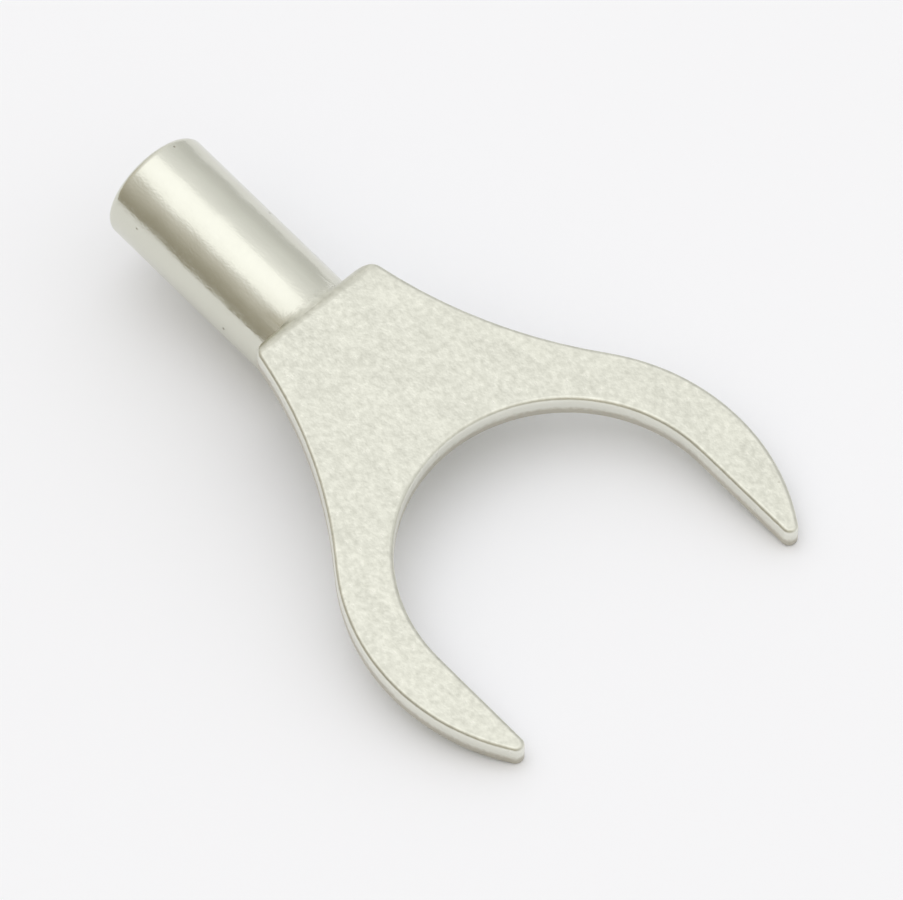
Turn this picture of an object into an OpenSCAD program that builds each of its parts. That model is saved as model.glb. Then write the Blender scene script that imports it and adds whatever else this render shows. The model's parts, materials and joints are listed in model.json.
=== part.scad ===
// Uninsulated fork terminal, stamped from one tinned copper sheet and rolled to a barrel.
// Millimetres, +Z up, +X from the wire end to the fork.
// The origin is the centre of the stud, half way through the sheet.
// The terminal lies as it comes to rest, on the barrel's front edge and the two fork tips.

/* [Sheet] */
// Thickness of the copper sheet
sheet_t = 0.8; // [0.6:0.05:1]

/* [Fork] */
// Width of the slot that takes the stud
slot_w = 9.9; // [8.4:0.1:10.4]
// Width over both arms
fork_w = 13.1; // [12.4:0.1:14.4]
// Distance that the arms' outer arc is centred behind the stud
arm_back = 0.1; // [0:0.05:0.6]
// Radius that ends each arm
tip_r = 0.25; // [0.1:0.05:0.35]

/* [Tongue] */
// Distance from the shoulder to the centre of the stud
tongue_len = 11; // [10:0.25:13]
// Width of the tongue at its shoulder
shoulder_w = 4.4; // [3.8:0.1:5.2]
// Radius of the shoulder's corners
shoulder_r = 0.6; // [0.2:0.05:0.9]
// Radius of the hollow flare between shoulder and arms
flare_r = 15.3; // [12:0.1:24]

/* [Barrel] */
// Outside diameter of the rolled barrel
barrel_d = 3.5; // [3.2:0.05:3.7]
// Length of the barrel from its mouth to the shoulder
barrel_len = 6.75; // [5:0.25:9]
// Length that the rolled wings reach on under the shoulder
wing_reach = 0.5; // [0.2:0.05:0.8]
// Width of the butt seam between the rolled edges
seam_gap = 0.1; // [0.06:0.01:0.2]
// Size of the bevel on the rolled edges, along both sides of the seam
seam_bevel = 0.1; // [0.05:0.01:0.2]
// Radius on the outer edge of the mouth
rim_r = 0.25; // [0.1:0.05:0.35]
// Size of the bevel that leads the wire into the bore
lead_in = 0.25; // [0.1:0.05:0.35]
// Distance that the rolled wings open out inside, towards their front edge
wing_bell = 0.08; // [0.02:0.02:0.08]

/* [Neck] */
// Depth of the press step from the tongue down to the top of the barrel
step_h = 0.15; // [0.1:0.05:0.3]
// Outer radius of the bend that turns the tongue down into the step
crest_r = 0.5; // [0.35:0.05:0.55]

/* [Hidden] */
$fn = 96;
past = 1;
hair = 0.0002;
plate_colour = [0.80, 0.79, 0.75];

slot_r = slot_w / 2;
arm_r = fork_w / 2;
arm_x = -arm_back;
barrel_r = barrel_d / 2;
bore_r = barrel_r - sheet_t;
shoulder_x = -tongue_len;
shoulder_y = shoulder_w / 2;
mouth_x = shoulder_x - barrel_len;
wing_x = shoulder_x + wing_reach;
top_z = sheet_t / 2;
under_z = -sheet_t / 2;
axis_z = top_z - step_h - barrel_r;

// The flare's centre is flare_r from the shoulder's corner, and its arc runs on into the arm's arc.
reach_x = arm_x - shoulder_x;
reach = norm([reach_x, shoulder_y]);
along = (pow(flare_r, 2) - pow(arm_r + flare_r, 2) + pow(reach, 2)) / (2 * reach);
aside = sqrt(pow(flare_r, 2) - pow(along, 2));
flare_x = shoulder_x + (along * reach_x + aside * shoulder_y) / reach;
flare_y = shoulder_y + (aside * reach_x - along * shoulder_y) / reach;
meet = flare_r / (arm_r + flare_r);
meet_x = flare_x + meet * (arm_x - flare_x);
meet_y = flare_y - meet * flare_y;

// The tip's arc touches the straight inner edge and the arm's outer arc.
tip_y = slot_r + tip_r;
tip_x = arm_x + sqrt(pow(arm_r - tip_r, 2) - pow(tip_y, 2));
tip_turn = atan2(tip_y, tip_x - arm_x);
tip_end = tip_x + tip_r;

// The shoulder's rounding touches its back edge and the flare.
corner_x = shoulder_x + shoulder_r;
corner_y = flare_y - sqrt(pow(flare_r + shoulder_r, 2) - pow(corner_x - flare_x, 2));
corner_turn = atan2(flare_y - corner_y, flare_x - corner_x);

// The terminal tips forward until the fork tips touch what the barrel's front edge stands on.
rest_tilt = atan2(under_z - axis_z + barrel_r, tip_end - wing_x);

// Outline of the flat sheet from the shoulder to the fork tips, seen from above.
module sheet_outline() {
    difference() {
        union() {
            translate([arm_x, 0])
                circle(r = arm_r);
            polygon([
                [shoulder_x, -shoulder_y], [meet_x, -meet_y],
                [meet_x, meet_y], [shoulder_x, shoulder_y]
            ]);
        }
        translate([flare_x, flare_y])
            circle(r = flare_r, $fn = 360);
        translate([flare_x, -flare_y])
            circle(r = flare_r, $fn = 360);
        circle(r = slot_r);
        translate([0, -slot_r])
            square([arm_r + past, slot_w]);
        edge_waste();
        mirror([0, 1])
            edge_waste();
    }
}

// Waste of one side past the rounding of its tip and its shoulder.
// Each rounding is a hair larger, so that it crosses the edges it runs into and leaves no sliver.
module edge_waste() {
    tip_out = arm_r - tip_r + past;
    corner_out = shoulder_r + past;
    difference() {
        polygon([
            [tip_x, tip_y], [tip_x, slot_r - past], [tip_x + arm_r, slot_r - past],
            [arm_x + tip_out * cos(tip_turn) + past, tip_out * sin(tip_turn) + past],
            [arm_x + (tip_out + tip_r) * cos(tip_turn), (tip_out + tip_r) * sin(tip_turn)]
        ]);
        translate([tip_x, tip_y])
            circle(r = tip_r + hair, $fn = 48);
    }
    difference() {
        polygon([
            [corner_x, corner_y], [corner_x - corner_out, corner_y],
            [corner_x - corner_out, corner_y + corner_out],
            [corner_x + corner_out * cos(corner_turn), corner_y + corner_out * sin(corner_turn)]
        ]);
        translate([corner_x, corner_y])
            circle(r = shoulder_r + hair, $fn = 48);
    }
}

// Flat sheet of the fork and the tongue, bent down over a crest at the back of the shoulder.
module bent_sheet() {
    difference() {
        translate([0, 0, under_z])
            linear_extrude(height = sheet_t)
                sheet_outline();
        translate([shoulder_x, -shoulder_w, top_z])
            rotate([-90, 0, 0])
                linear_extrude(height = 2 * shoulder_w)
                    difference() {
                        translate([-past, -past])
                            square(crest_r + past);
                        translate([crest_r, crest_r])
                            circle(r = crest_r);
                    }
    }
}

// Rolled barrel, from the mouth to the front of the wings, with its section turned about the axis.
module barrel_section() {
    difference() {
        square([barrel_r, wing_x - mouth_x]);
        translate([barrel_r - rim_r, 0])
            difference() {
                square([rim_r + past, rim_r]);
                translate([0, rim_r])
                    circle(r = rim_r);
            }
    }
}

// Space inside the barrel, with the bevel at its mouth and the bell of its wings.
module barrel_bore() {
    translate([0, 0, axis_z])
        rotate([0, 90, 0])
            union() {
                translate([0, 0, mouth_x - past])
                    cylinder(r = bore_r, h = barrel_len + past);
                translate([0, 0, mouth_x - past])
                    cylinder(r1 = bore_r + lead_in + past, r2 = bore_r, h = lead_in + past);
                translate([0, 0, shoulder_x])
                    cylinder(r1 = bore_r, r2 = bore_r + wing_bell, h = wing_reach);
            }
}

// Butt seam along the underside, with a bevel on both rolled edges.
module seam() {
    side = seam_gap / 2;
    flank = side + seam_bevel + past;
    translate([mouth_x - past, 0, axis_z - barrel_r])
        rotate([90, 0, 90])
            linear_extrude(height = wing_x - mouth_x + 2 * past)
                polygon([
                    [-side, barrel_r], [-side, seam_bevel], [-flank, -past],
                    [flank, -past], [side, seam_bevel], [side, barrel_r]
                ]);
}

// The whole terminal with its tongue level.
module level_terminal() {
    difference() {
        union() {
            translate([mouth_x, 0, axis_z])
                rotate([0, 90, 0])
                    rotate_extrude()
                        barrel_section();
            bent_sheet();
        }
        barrel_bore();
        seam();
    }
}

// One piece of tinned copper sheet: fork, tongue, neck and rolled barrel.
module fork_terminal() {
    color(plate_colour)
        rotate([0, rest_tilt, 0])
            level_terminal();
}

fork_terminal();
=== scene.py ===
import json
import math

import bmesh
import bpy
from mathutils import Matrix, Vector


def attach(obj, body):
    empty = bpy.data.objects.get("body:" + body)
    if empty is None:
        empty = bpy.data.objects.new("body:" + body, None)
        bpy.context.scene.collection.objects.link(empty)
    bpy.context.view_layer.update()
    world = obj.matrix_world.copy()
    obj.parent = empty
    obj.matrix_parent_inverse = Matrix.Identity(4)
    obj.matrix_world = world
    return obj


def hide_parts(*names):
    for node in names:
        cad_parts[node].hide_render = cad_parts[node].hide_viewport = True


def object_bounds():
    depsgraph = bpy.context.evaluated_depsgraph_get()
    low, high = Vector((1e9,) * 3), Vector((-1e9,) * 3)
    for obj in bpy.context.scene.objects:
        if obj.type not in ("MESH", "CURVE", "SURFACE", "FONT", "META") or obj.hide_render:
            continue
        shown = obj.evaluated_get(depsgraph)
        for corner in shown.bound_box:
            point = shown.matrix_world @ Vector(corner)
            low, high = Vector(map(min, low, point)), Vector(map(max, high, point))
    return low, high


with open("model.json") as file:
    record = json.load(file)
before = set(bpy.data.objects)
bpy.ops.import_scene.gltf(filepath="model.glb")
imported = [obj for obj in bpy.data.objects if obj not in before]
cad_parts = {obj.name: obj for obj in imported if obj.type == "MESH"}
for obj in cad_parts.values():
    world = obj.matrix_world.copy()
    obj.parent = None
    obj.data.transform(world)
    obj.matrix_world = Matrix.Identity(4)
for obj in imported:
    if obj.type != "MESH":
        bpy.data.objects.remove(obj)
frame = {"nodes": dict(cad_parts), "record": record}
cad_box = [list(corner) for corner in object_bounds()]

# The terminal: one copper sheet, blanked in a press, bent down at the neck and rolled to a barrel.
# It was tumbled and tin plated as a finished piece, so the plate covers the blanked edges too.
# Its form is the CAD solid's, with the facets smoothed and each edge rounded as the press leaves it.
MM = 0.001
SHOULDER_X = -11.0
CORNER_END = SHOULDER_X + 0.7
WING_X = -10.5
TIP_X = 3.3
MOUTH_X = -17.75
WELD = 0.001 * MM
SHORTEST_EDGE = 0.035 * MM
FLAT_TURN = math.radians(0.2)
EDGE_TURN = math.radians(30)
FACET_DEGREES = (1, 12)
RIM_DEGREES = (35, 60)
FACET_ROUND = 0.16 * MM
ROLLED_EDGE = 0.13 * MM
BURR_EDGE = 0.05 * MM
MOUTH_EDGE = 0.04 * MM

# Sizes in level directions: the fork's plane lies flat there, with +X from the barrel to the fork.
mounts = {mount["name"]: mount for mount in frame["record"]["mounts"]}
up = Vector(mounts["stud_slot"]["axis"])
level = up.rotation_difference(Vector((0, 0, 1))).to_matrix()
forward = level.inverted() @ Vector((1, 0, 0))
SHEET = mounts["stud_slot"]["dims"]["length_mm"]

bpy.ops.object.select_all(action="DESELECT")
node = frame["nodes"]["fork_terminal"]
node.select_set(True)
bpy.context.view_layer.objects.active = node
bpy.ops.object.duplicate()
terminal = bpy.context.active_object
terminal.name = "tinned_terminal"
for key in [k for k in terminal.keys() if k.startswith("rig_")]:
    del terminal[key]

bpy.ops.mesh.customdata_custom_splitnormals_clear()
bpy.ops.object.mode_set(mode="EDIT")
bpy.ops.mesh.select_all(action="SELECT")
bpy.ops.mesh.remove_doubles(threshold=WELD)
bpy.ops.mesh.dissolve_limited(angle_limit=FLAT_TURN)
bpy.ops.mesh.remove_doubles(threshold=SHORTEST_EDGE)


def bevel_edges(wanted, offset, segments):
    """Bevels the edges that pass a test of their faces and their middle, seen on the level terminal."""
    bpy.ops.mesh.select_all(action="DESELECT")
    bpy.ops.mesh.select_mode(type="EDGE")
    mesh = bmesh.from_edit_mesh(terminal.data)
    for edge in mesh.edges:
        upper, lower = sorted((level @ face.normal for face in edge.link_faces), key=lambda n: -n.z)
        middle = level @ ((edge.verts[0].co + edge.verts[1].co) / 2) / MM
        if wanted(edge, upper, lower, middle):
            edge.select = True
    mesh.select_flush_mode()
    bmesh.update_edit_mesh(terminal.data)
    bpy.ops.mesh.bevel(offset=offset, segments=segments, profile=0.5, affect="EDGES",
                       clamp_overlap=False)


# The long arcs of fork, slot and flare come in flat facets, whose upright edges are rounded off.
def between_facets(edge, upper, lower, middle):
    upright = abs(upper.z) < 0.02 and abs(lower.z) < 0.02
    slight = FACET_DEGREES[0] < math.degrees(upper.angle(lower)) < FACET_DEGREES[1]
    return upright and slight and CORNER_END < middle.x < TIP_X


bevel_edges(between_facets, FACET_ROUND, 2)


# The punch draws the sheet's top edge down all round, and the tumbling drum rounds it further.
def on_top_outline(edge, upper, lower, middle):
    on_top = upper.z > 0.3 and abs(upper.y) < 0.05 and middle.z > 0
    return edge.is_convex and on_top and abs(lower.z) < 0.05 and upper.angle(lower) > EDGE_TURN


bevel_edges(on_top_outline, ROLLED_EDGE, 5)


# The underside keeps the fine edge where the burr was, and so do the fronts of the rolled wings.
def on_burr_edge(edge, upper, lower, middle):
    outline = lower.z < -0.999 and abs(upper.z) < 0.1 and abs(middle.z + SHEET / 2) < 0.01
    flank, front = sorted((upper, lower), key=lambda n: n.x)
    wing = front.x > 0.99 and abs(flank.x) < 0.3 and abs(middle.x - WING_X) < 0.01
    return edge.is_convex and (outline or wing)


bevel_edges(on_burr_edge, BURR_EDGE, 2)


# The bevel that leads the wire in has soft rims.
def on_mouth_rim(edge, upper, lower, middle):
    rim = RIM_DEGREES[0] < math.degrees(upper.angle(lower)) < RIM_DEGREES[1]
    return rim and min(upper.x, lower.x) < -0.6 and middle.x < MOUTH_X + 1


bevel_edges(on_mouth_rim, MOUTH_EDGE, 2)

# The bend runs out into the top of the barrel over a soft hollow, which is joined on in the crease.
# Each of its rows is an arc of a ball that touches both, large in the middle and small at the sides.
# Its first and last points are sunk into the metal, and two more below them close the row.
BARREL_RADIUS = 1.75
BARREL_Z = -1.5
CREST_RADIUS = 0.5
HOLLOW_MIDDLE = 0.7
HOLLOW_SIDE = 0.005
HOLLOW_TURN = math.radians(50)
HOLLOW_ROWS = 24
HOLLOW_STEPS = 8
SUNK = 0.012
ROOT = 0.15
LAST_RING_X = SHOULDER_X - 0.8
SMOOTH_TURN = math.radians(32)
bpy.ops.mesh.select_all(action="SELECT")
bpy.ops.mesh.bisect(plane_co=forward * LAST_RING_X * MM, plane_no=forward)
bpy.ops.object.mode_set(mode="OBJECT")
crest = Vector((SHOULDER_X + CREST_RADIUS, 0, SHEET / 2 - CREST_RADIUS))
points = []
for row in range(-HOLLOW_ROWS, HOLLOW_ROWS + 1):
    turn = row / HOLLOW_ROWS * HOLLOW_TURN
    swell = math.cos(row / HOLLOW_ROWS * math.pi / 2) ** 2
    ball = HOLLOW_SIDE + (HOLLOW_MIDDLE - HOLLOW_SIDE) * swell
    to_barrel = Vector((0, -math.sin(turn), -math.cos(turn)))
    centre = Vector((0, 0, BARREL_Z)) - (BARREL_RADIUS + ball) * to_barrel
    rise = max(centre.z - crest.z, 0)
    centre.x = crest.x - math.sqrt((CREST_RADIUS + ball) ** 2 - rise ** 2)
    to_bend = Vector((crest.x - centre.x, 0, -rise)).normalized()
    arc = [centre + ball * to_barrel.slerp(to_bend, step / HOLLOW_STEPS)
           for step in range(HOLLOW_STEPS + 1)]
    arc[0] += SUNK * to_barrel
    arc[-1] += SUNK * to_bend
    arc += [centre + (ball + ROOT) * to_bend, centre + (ball + ROOT) * to_barrel]
    points += [level.inverted() @ point * MM for point in arc]
ring = HOLLOW_STEPS + 3
last = len(points) - ring
faces = [[first + one, first + (one + 1) % ring, first + ring + (one + 1) % ring, first + ring + one]
         for first in range(0, last, ring) for one in range(ring)]
faces += [list(range(ring))[::-1], list(range(last, last + ring))]
hollow_mesh = bpy.data.meshes.new("neck_hollow")
hollow_mesh.from_pydata(points, [], faces)
hollow = bpy.data.objects.new("neck_hollow", hollow_mesh)
bpy.context.scene.collection.objects.link(hollow)
join = terminal.modifiers.new("neck_hollow", "BOOLEAN")
join.operation = "UNION"
join.solver = "MANIFOLD"
join.object = hollow
bpy.ops.object.modifier_apply(modifier=join.name)
bpy.data.objects.remove(hollow, do_unlink=True)
bpy.ops.object.mode_set(mode="EDIT")
bpy.ops.mesh.select_all(action="SELECT")
bpy.ops.mesh.remove_doubles(threshold=2 * WELD)
bpy.ops.mesh.dissolve_degenerate(threshold=WELD)
bpy.ops.object.mode_set(mode="OBJECT")
bpy.ops.object.shade_smooth_by_angle(angle=SMOOTH_TURN)
weighted = terminal.modifiers.new("flat_faces_stay_flat", "WEIGHTED_NORMAL")
weighted.keep_sharp = True
bpy.ops.object.modifier_apply(modifier=weighted.name)


def linear(hex_colour):
    """An sRGB hex colour as linear RGBA."""
    parts = [int(hex_colour[i:i + 2], 16) / 255 for i in (0, 2, 4)]
    return [c / 12.92 if c <= 0.04045 else ((c + 0.055) / 1.055) ** 2.4 for c in parts] + [1.0]


def add(tree, kind, settings=(), links=()):
    """Adds a node with its settings, and links its inputs to sockets or to other nodes' live outputs."""
    made = tree.nodes.new(kind)
    for name, value in dict(settings).items():
        if isinstance(name, str) and hasattr(made, name):
            setattr(made, name, value)
        else:
            made.inputs[name].default_value = value
    for name, source in dict(links).items():
        if hasattr(source, "outputs"):
            source = next(output for output in source.outputs if output.enabled)
        tree.links.new(source, made.inputs[name])
    return made


# Tin plate on copper, barrel-tumbled and then electroplated: a warm pale silver with a soft sheen.
# The flat sheet is satin and finely mottled, the rolled barrel glossier, drawn out in streaks and
# speckled with brown pits. Each blanked edge is coloured lighter above, as a painted reflection of the
# lit board, and darker and browner below, as painted shade; below, where the sheet broke, it is also
# duller.
MICRON = 1e-6
GRAIN = 0.07 * MM
MOTTLE = 0.18 * MM
WAVE = 1.3 * MM
STREAK = 0.1 * MM
STREAK_STRETCH = (0.04, 1.0, 1.0)
TEAR = 0.15 * MM
TEAR_TOP = 0.08 * MM
TEAR_FOOT = -0.1 * MM
DENT_CELL = 1.1 * MM
DENT_RADIUS = 0.09 * MM
DENT_SHARE = 0.35
PIT_CELL = 0.75 * MM
PIT_RADIUS = 0.06 * MM
PIT_SHARE = 0.3
PIT_ON_SHEET = 0.2
MOTTLE_RELIEF = 8.0
MOTTLE_ON_BARREL = 2.0
GRAIN_RELIEF = 3.5
WAVE_RELIEF = 40.0
DENT_RELIEF = -12.0
PIT_RELIEF = -10.0
STREAK_RELIEF = 1.6
CLOUD_LEAST = 0.3
CLOUD_MOST = 0.75
SATIN_LEAST = 0.24
SATIN_MOST = 0.36
BARREL_GLOSS = -0.1
BROKEN_DULL = 0.16
PLATE_COLOUR = linear("D8D8CC")
CLOUD_COLOUR = linear("C6C6BA")
# The burnished edge colour is lighter than the plate: a painted reflection of the lit board on the
# upright edges.
BURNISHED_LAND_AND_PAINTED_REFLECTION_COLOUR = linear("EAEAE0")
# The broken colour is darker and browner than the plate. It is partly the dull broken metal and partly
# painted shade at the foot of the edges.
BROKEN_AND_PAINTED_SHADE_COLOUR = linear("CAC6B9")
PIT_COLOUR = linear("7A6E58")
tin = bpy.data.materials.new("tin_plated_copper")
tin.use_nodes = True
tree = tin.node_tree
tree.nodes.clear()

# Zones: the barrel with its wings, the flat sheet, its blanked edges and the torn foot of those edges;
# the edges carry a painted reflection and their foot painted shade.
place = add(tree, "ShaderNodeTexCoord")
point = place.outputs["Object"]
along = add(tree, "ShaderNodeVectorMath", {"operation": "DOT_PRODUCT", 1: forward}, {0: point})
height = add(tree, "ShaderNodeVectorMath", {"operation": "DOT_PRODUCT", 1: up}, {0: point})
facing = add(tree, "ShaderNodeVectorMath", {"operation": "DOT_PRODUCT", 1: up},
             {0: place.outputs["Normal"]})
behind = add(tree, "ShaderNodeMapRange",
             {"interpolation_type": "SMOOTHSTEP", "From Min": (SHOULDER_X + 0.05) * MM,
              "From Max": (SHOULDER_X - 0.25) * MM}, {"Value": along})
under = add(tree, "ShaderNodeMapRange",
            {"From Min": (-SHEET / 2 - 0.01) * MM, "From Max": (-SHEET / 2 - 0.06) * MM},
            {"Value": height})
barrel = add(tree, "ShaderNodeMath", {"operation": "MAXIMUM"}, {0: behind, 1: under})
sheet = add(tree, "ShaderNodeMath", {"operation": "SUBTRACT", 0: 1.0}, {1: barrel})
flatness = add(tree, "ShaderNodeMath", {"operation": "ABSOLUTE"}, {0: facing})
upright = add(tree, "ShaderNodeMapRange", {"From Min": 0.7, "From Max": 0.3}, {"Value": flatness})
# The edge mask carries a painted reflection: the upright edges of the sheet are coloured lighter than
# the plate.
edges = add(tree, "ShaderNodeMath", {"operation": "MULTIPLY"}, {0: upright, 1: sheet})
ragged = add(tree, "ShaderNodeTexNoise", {"Scale": 1 / TEAR, "Detail": 1.0}, {"Vector": point})
tear = add(tree, "ShaderNodeMath", {"operation": "MULTIPLY_ADD", 1: TEAR}, {0: ragged, 2: height})
below = add(tree, "ShaderNodeMapRange", {"From Min": TEAR_TOP, "From Max": TEAR_FOOT}, {"Value": tear})
# The foot of each edge is the broken zone. It is made rougher, and its darker colour is painted shade.
broken_and_painted_shade = add(tree, "ShaderNodeMath", {"operation": "MULTIPLY"}, {0: below, 1: edges})

# Patterns: grain, mottle, slow waves, streaks drawn out along the barrel, scattered dents and pits.
# The plate's real grain is finer than a pixel, so it is drawn as coarse as it needs to show.
grain = add(tree, "ShaderNodeTexNoise", {"Scale": 1 / GRAIN, "Detail": 1.0}, {"Vector": point})
mottle = add(tree, "ShaderNodeTexNoise", {"Scale": 1 / MOTTLE, "Detail": 2.0}, {"Vector": point})
waves = add(tree, "ShaderNodeTexNoise", {"Scale": 1 / WAVE, "Detail": 1.0}, {"Vector": point})
across = add(tree, "ShaderNodeSeparateXYZ", {}, {"Vector": point})
levelled = add(tree, "ShaderNodeCombineXYZ", {}, {"X": along, "Y": across.outputs["Y"], "Z": height})
drawn = add(tree, "ShaderNodeVectorMath", {"operation": "MULTIPLY", 1: STREAK_STRETCH}, {0: levelled})
streaks = add(tree, "ShaderNodeTexNoise", {"Scale": 1 / STREAK, "Detail": 1.0}, {"Vector": drawn})
scattered = []
for cell, radius, share in ((DENT_CELL, DENT_RADIUS, DENT_SHARE), (PIT_CELL, PIT_RADIUS, PIT_SHARE)):
    scatter = add(tree, "ShaderNodeTexVoronoi", {"Scale": 1 / cell}, {"Vector": point})
    pick = add(tree, "ShaderNodeSeparateColor", {}, {"Color": scatter.outputs["Color"]})
    chosen = add(tree, "ShaderNodeMath", {"operation": "LESS_THAN", 1: share}, {0: pick})
    disc = add(tree, "ShaderNodeMapRange",
               {"interpolation_type": "SMOOTHSTEP", "From Min": radius / cell,
                "From Max": 0.4 * radius / cell}, {"Value": scatter.outputs["Distance"]})
    scattered.append(add(tree, "ShaderNodeMath", {"operation": "MULTIPLY"}, {0: disc, 1: chosen}))
dents, specks = scattered
on_barrel = add(tree, "ShaderNodeMath",
                {"operation": "MULTIPLY_ADD", 1: 1 - PIT_ON_SHEET, 2: PIT_ON_SHEET}, {0: barrel})
pits = add(tree, "ShaderNodeMath", {"operation": "MULTIPLY"}, {0: specks, 1: on_barrel})

# Relief in microns: the mottle is pressed flat on the barrel, and the streaks show there alone.
lumps = add(tree, "ShaderNodeMapRange", {"To Min": MOTTLE_RELIEF, "To Max": MOTTLE_ON_BARREL},
            {"Value": barrel})
drawn_out = add(tree, "ShaderNodeMath", {"operation": "MULTIPLY"}, {0: streaks, 1: barrel})
relief = add(tree, "ShaderNodeMath", {"operation": "MULTIPLY"}, {0: mottle, 1: lumps})
for layer, microns in ((grain, GRAIN_RELIEF), (waves, WAVE_RELIEF), (dents, DENT_RELIEF),
                       (pits, PIT_RELIEF), (drawn_out, STREAK_RELIEF)):
    relief = add(tree, "ShaderNodeMath", {"operation": "MULTIPLY_ADD", 1: microns},
                 {0: layer, 2: relief})
bump = add(tree, "ShaderNodeBump", {"Strength": 1.0, "Distance": MICRON}, {"Height": relief})

# Colour and gloss: the sheet is clouded, its edges painted lighter as a reflection, their torn foot
# painted darker as shade and made dull, and the barrel is the glossiest.
thick = add(tree, "ShaderNodeMapRange", {"From Min": CLOUD_LEAST, "From Max": CLOUD_MOST},
            {"Value": mottle})
cloud = add(tree, "ShaderNodeMath", {"operation": "MULTIPLY"}, {0: thick, 1: sheet})
colour = add(tree, "ShaderNodeMix", {"data_type": "RGBA", 6: PLATE_COLOUR, 7: CLOUD_COLOUR}, {0: cloud})
# The upright edges get a lighter colour as a painted reflection, their lower part a darker, browner one
# as painted shade, and the pits their own brown.
for zone, tone in ((edges, BURNISHED_LAND_AND_PAINTED_REFLECTION_COLOUR), (broken_and_painted_shade, BROKEN_AND_PAINTED_SHADE_COLOUR), (pits, PIT_COLOUR)):
    colour = add(tree, "ShaderNodeMix", {"data_type": "RGBA", 7: tone}, {0: zone, 6: colour})
satin = add(tree, "ShaderNodeMapRange", {"To Min": SATIN_LEAST, "To Max": SATIN_MOST}, {"Value": mottle})
rolled = add(tree, "ShaderNodeMath", {"operation": "MULTIPLY_ADD", 1: BARREL_GLOSS},
             {0: barrel, 2: satin})
gloss = add(tree, "ShaderNodeMath", {"operation": "MULTIPLY_ADD", 1: BROKEN_DULL},
            {0: broken_and_painted_shade, 2: rolled})
metal = add(tree, "ShaderNodeBsdfPrincipled", {"Metallic": 1.0},
            {"Base Color": colour, "Roughness": gloss, "Normal": bump})
add(tree, "ShaderNodeOutputMaterial", {}, {"Surface": metal})
terminal.data.materials.clear()
terminal.data.materials.append(tin)
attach(terminal, "root")
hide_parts("fork_terminal")

# The table: a plain board under the terminal, painted matt white, which fills the view.
# It lies level with the lowest points of the CAD solid, so the tips and the barrel's edge rest on it.
BOARD_WIDTH = 3.0
BOARD_COLOUR = linear("F6F7FB")
BOARD_ROUGHNESS = 0.9
bpy.ops.object.select_all(action="DESELECT")
bpy.ops.mesh.primitive_plane_add(size=BOARD_WIDTH, location=(0, 0, cad_box[0][2]))
floor = bpy.context.active_object
floor.name = "white_board"
white = bpy.data.materials.new("matt_white_board")
white.use_nodes = True
white.node_tree.nodes.clear()
paint = add(white.node_tree, "ShaderNodeBsdfPrincipled",
            {"Base Color": BOARD_COLOUR, "Roughness": BOARD_ROUGHNESS})
add(white.node_tree, "ShaderNodeOutputMaterial", {}, {"Surface": paint})
floor.data.materials.append(white)

# The light: a white room, which fades from its ceiling to grey walls on the far side and to dim brown
# ones on the near side, is lighter at its ends, and has one large soft box almost overhead.
# A wall lists heights, as the upward part of a direction, with the light that comes from each.
CEILING = (1.14, 1.14, 1.15)
FAR_WALL = ((0.0, (0.64, 0.64, 0.63)), (0.37, (0.74, 0.74, 0.73)), (0.7, (0.90, 0.90, 0.90)),
            (1.0, CEILING))
NEAR_WALL = ((0.0, (0.32, 0.29, 0.22)), (0.4, (0.46, 0.43, 0.36)), (0.67, (0.67, 0.64, 0.58)),
             (1.0, CEILING))
SIDE_BLEND = 0.6
FORK_END = (0.0, 0.5)
BARREL_END = (-0.42, -0.85)
END_LIGHT = 1.32
SOFT_BOX_PLACE = (-0.153, -0.04, 0.886)
SOFT_BOX_SIZE = 0.8
SOFT_BOX_WATTS = 0.62
room = bpy.data.worlds.new("studio")
bpy.context.scene.world = room
room.use_nodes = True
tree = room.node_tree
tree.nodes.clear()
sky = add(tree, "ShaderNodeTexCoord")
axes = add(tree, "ShaderNodeSeparateXYZ", {}, {"Vector": sky.outputs["Generated"]})
walls = []
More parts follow.
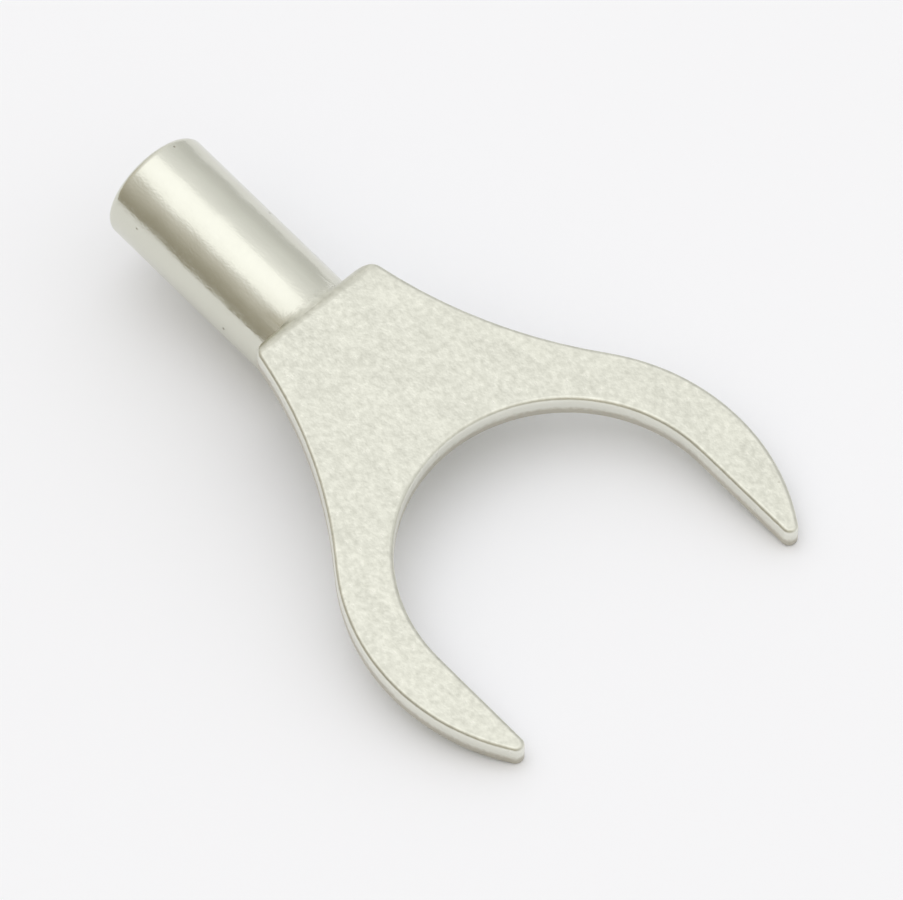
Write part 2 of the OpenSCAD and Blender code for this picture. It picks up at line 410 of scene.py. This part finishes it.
for steps in (NEAR_WALL, FAR_WALL):
    fade = add(tree, "ShaderNodeValToRGB", {}, {"Fac": axes.outputs["Z"]})
    for rise, light in steps[1:-1]:
        fade.color_ramp.elements.new(rise)
    for element, (rise, light) in zip(fade.color_ramp.elements, steps):
        element.position = rise
        element.color = [*light, 1.0]
    walls.append(fade)
side = add(tree, "ShaderNodeMapRange", {"From Min": -SIDE_BLEND, "From Max": SIDE_BLEND},
           {"Value": axes.outputs["Y"]})
around = add(tree, "ShaderNodeMix", {"data_type": "RGBA"}, {0: side, 6: walls[0], 7: walls[1]})
ends = [add(tree, "ShaderNodeMapRange",
            {"From Min": start, "From Max": end, "To Min": 1.0, "To Max": END_LIGHT},
            {"Value": axes.outputs["X"]}) for start, end in (FORK_END, BARREL_END)]
lift = add(tree, "ShaderNodeMath", {"operation": "MAXIMUM"}, {0: ends[0], 1: ends[1]})
backdrop = add(tree, "ShaderNodeBackground", {}, {"Color": around, "Strength": lift})
add(tree, "ShaderNodeOutputWorld", {}, {"Surface": backdrop})

bpy.ops.object.light_add(type="AREA", location=SOFT_BOX_PLACE)
box = bpy.context.active_object
box.name = "soft_box"
box.data.shape = "SQUARE"
box.data.size = SOFT_BOX_SIZE
box.data.energy = SOFT_BOX_WATTS
box.rotation_euler = (-box.location).to_track_quat("-Z", "Y").to_euler()

# The camera looks down on the terminal at the photograph's angle, from a long lens.
# Its directions were found by laying the terminal's outline over the photograph.
VIEW_DISTANCE = 0.33
VIEW_WIDTH = 0.0255
SENSOR = 36.0
right = Vector((0.660, 0.741, -0.122)).normalized()
back = Vector((0.523, -0.336, 0.783)).normalized()
top = back.cross(right).normalized()
target = Vector((-0.0049, 0.0, 0.0007))
lens = bpy.data.cameras.new("camera")
lens.sensor_width = SENSOR
lens.lens = SENSOR * VIEW_DISTANCE / VIEW_WIDTH
camera = bpy.data.objects.new("camera", lens)
bpy.context.scene.collection.objects.link(camera)
camera.matrix_world = Matrix((top.cross(back), top, back)).transposed().to_4x4()
camera.location = target + back * VIEW_DISTANCE
bpy.context.scene.camera = camera
bpy.context.scene.view_settings.view_transform = "Standard"
